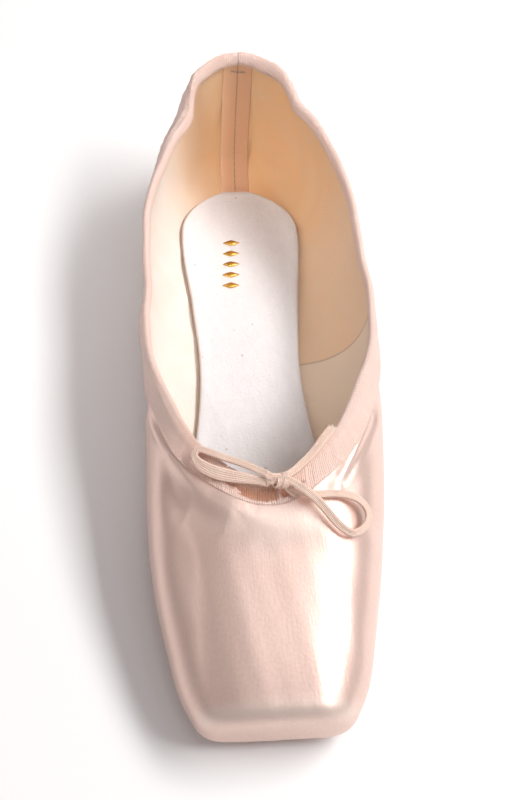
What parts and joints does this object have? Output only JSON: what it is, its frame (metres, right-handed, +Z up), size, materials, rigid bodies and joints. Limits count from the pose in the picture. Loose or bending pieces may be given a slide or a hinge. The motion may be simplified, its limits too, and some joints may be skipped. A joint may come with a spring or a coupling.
{
  "type": "pointe shoe",
  "caption": "Satin pointe shoe standing empty: stiff square-tipped toe box, open throat with a drawstring bow, gathered binding, soft quarters and a thin short sole.",
  "frame": {"origin": "on the floor under the middle of the shoe's bounding box, without the drawstring's free runs", "axes": "+Z up, the toe platform faces -Y, the heel is at +Y, and +X is to the wearer's left"},
  "size_m": [0.0828, 0.2406, 0.0677],
  "materials": {
    "sole_leather": "tan suede split leather, brushed, with a burnished cut edge",
    "sock": "pale grey brushed sock lining",
    "satin": "peach pink duchess satin outside with a soft sheen, cream cotton lining inside",
    "lining": "warm beige cotton drill lining, matt",
    "binding": "fine ribbed pink cotton binding, matt",
    "drawstring": "soft flat woven cotton tape, peach pink, matt",
    "thread": "waxed pink sewing thread",
    "foil": "pressed gold foil"
  },
  "bodies": {
    "root": {"outsole": "sole_leather", "insole": "sock", "upper": "satin", "collar_binding": "binding", "drawstring_knot": "drawstring", "drawstring_loop_left": "drawstring", "drawstring_loop_right": "drawstring", "drawstring_end": "drawstring"}
  },
  "joints": []
}
